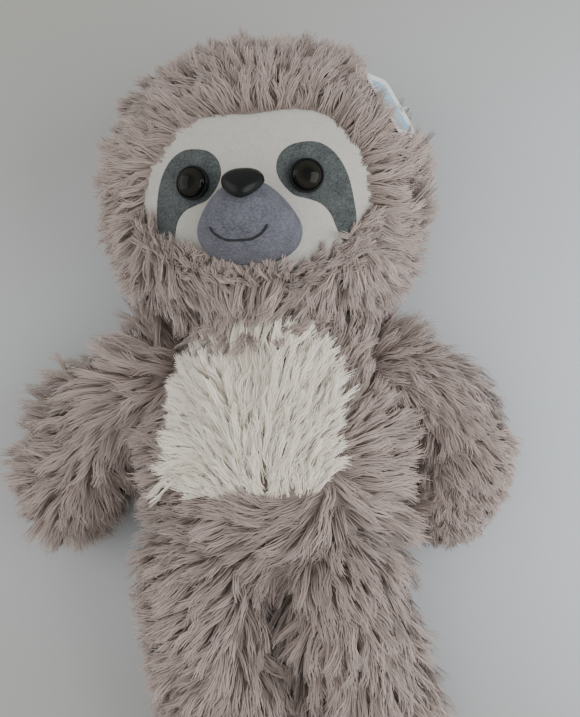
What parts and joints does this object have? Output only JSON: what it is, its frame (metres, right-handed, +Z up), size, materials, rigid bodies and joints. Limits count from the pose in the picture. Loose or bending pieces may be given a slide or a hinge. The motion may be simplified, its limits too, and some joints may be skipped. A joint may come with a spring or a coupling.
{
  "type": "plush sloth toy",
  "caption": "Long-haired plush sloth lying on its back, with a cream face and belly, dark eye patches, a soft muzzle and limbs and head that turn.",
  "frame": {"origin": "middle of the flat area on the back of the body, on which the toy lies", "axes": "+Y towards the top of the head, +Z up out of the belly, +X to the right of someone who looks down at the face"},
  "size_m": [0.1998, 0.2967, 0.1098],
  "materials": {
    "taupe_pile": "long matte pile",
    "cream_pile": "long matte pile",
    "cream_short_pile": "short matte pile",
    "dark_grey_short_pile": "short matte pile",
    "lavender_grey_short_pile": "short ribbed matte pile",
    "white_fibre": "loose matte fibre",
    "taupe_backing": "matte woven backing",
    "black_thread": "matte twisted thread",
    "taupe_thread": "matte twisted thread",
    "clear_brown_plastic": "high gloss",
    "black_plastic": "satin gloss",
    "white_washer_plastic": "matte",
    "white_card": "smooth matte",
    "clear_nylon": "satin"
  },
  "bodies": {
    "torso": {"body_cover": "taupe_pile", "belly_panel": "cream_pile", "body_stuffing": "white_fibre", "closing_stitches": "taupe_thread"},
    "neck_lower": {"neck_patch_lower": "taupe_backing"},
    "neck_upper": {"neck_patch_upper": "taupe_backing"},
    "head": {"head_cover": "taupe_pile", "head_stuffing": "white_fibre", "face_panel": "cream_short_pile", "eye_patch_left": "dark_grey_short_pile", "eye_patch_right": "dark_grey_short_pile", "eye_base_left": "black_plastic", "eye_base_right": "black_plastic", "eye_dome_left": "clear_brown_plastic", "eye_dome_right": "clear_brown_plastic", "eye_washer_left": "white_washer_plastic", "eye_washer_right": "white_washer_plastic", "muzzle_cover": "lavender_grey_short_pile", "muzzle_stuffing": "white_fibre", "nose": "black_plastic", "nose_washer": "white_washer_plastic", "mouth_thread": "black_thread", "neck_thread": "taupe_thread", "tag_fastener": "clear_nylon"},
    "tag": {"hang_tag": "white_card"},
    "shoulder_left": {"shoulder_left_patch": "taupe_backing"},
    "arm_left": {"arm_left_cover": "taupe_pile", "arm_left_stuffing": "white_fibre"},
    "shoulder_right": {"shoulder_right_patch": "taupe_backing"},
    "arm_right": {"arm_right_cover": "taupe_pile", "arm_right_stuffing": "white_fibre"},
    "hip_left": {"hip_left_patch": "taupe_backing"},
    "leg_left": {"leg_left_cover": "taupe_pile", "leg_left_stuffing": "white_fibre"},
    "hip_right": {"hip_right_patch": "taupe_backing"},
    "leg_right": {"leg_right_cover": "taupe_pile", "leg_right_stuffing": "white_fibre"}
  },
  "joints": [
    {"name": "neck_nod", "type": "hinge", "parent": "torso", "child": "neck_lower", "pos_m": [0, 0.019, 0.038], "axis": [1, 0, 0], "range_deg": [-15, 25]},
    {"name": "neck_tilt", "type": "hinge", "parent": "neck_lower", "child": "neck_upper", "pos_m": [0, 0.019, 0.038], "axis": [0, 0, 1], "range_deg": [-12, 12]},
    {"name": "neck_turn", "type": "hinge", "parent": "neck_upper", "child": "head", "pos_m": [0, 0.019, 0.038], "axis": [0, 1, 0], "range_deg": [-40, 40]},
    {"name": "tag_swing", "type": "hinge", "parent": "head", "child": "tag", "pos_m": [0.05185, 0.13331, 0.05], "axis": [-0.4848, 0.8746, 0], "range_deg": [0, 50]},
    {"name": "shoulder_left_swing", "type": "hinge", "parent": "torso", "child": "shoulder_left", "pos_m": [-0.045, 0.029, 0.033], "axis": [-1, 0, 0], "range_deg": [-25, 85]},
    {"name": "shoulder_left_spread", "type": "hinge", "parent": "shoulder_left", "child": "arm_left", "pos_m": [-0.045, 0.029, 0.033], "axis": [0, 0, -1], "range_deg": [-3, 45]},
    {"name": "shoulder_right_swing", "type": "hinge", "parent": "torso", "child": "shoulder_right", "pos_m": [0.045, 0.029, 0.033], "axis": [-1, 0, 0], "range_deg": [-25, 85]},
    {"name": "shoulder_right_spread", "type": "hinge", "parent": "shoulder_right", "child": "arm_right", "pos_m": [0.045, 0.029, 0.033], "axis": [0, 0, 1], "range_deg": [-2, 60]},
    {"name": "hip_left_swing", "type": "hinge", "parent": "torso", "child": "hip_left", "pos_m": [-0.0265, -0.047, 0.045], "axis": [-1, 0, 0], "range_deg": [-15, 60]},
    {"name": "hip_left_spread", "type": "hinge", "parent": "hip_left", "child": "leg_left", "pos_m": [-0.0265, -0.047, 0.045], "axis": [0, 0, -1], "range_deg": [-1, 38]},
    {"name": "hip_right_swing", "type": "hinge", "parent": "torso", "child": "hip_right", "pos_m": [0.0275, -0.047, 0.045], "axis": [-1, 0, 0], "range_deg": [-15, 75]},
    {"name": "hip_right_spread", "type": "hinge", "parent": "hip_right", "child": "leg_right", "pos_m": [0.0275, -0.047, 0.045], "axis": [0, 0, 1], "range_deg": [-2, 30]}
  ]
}
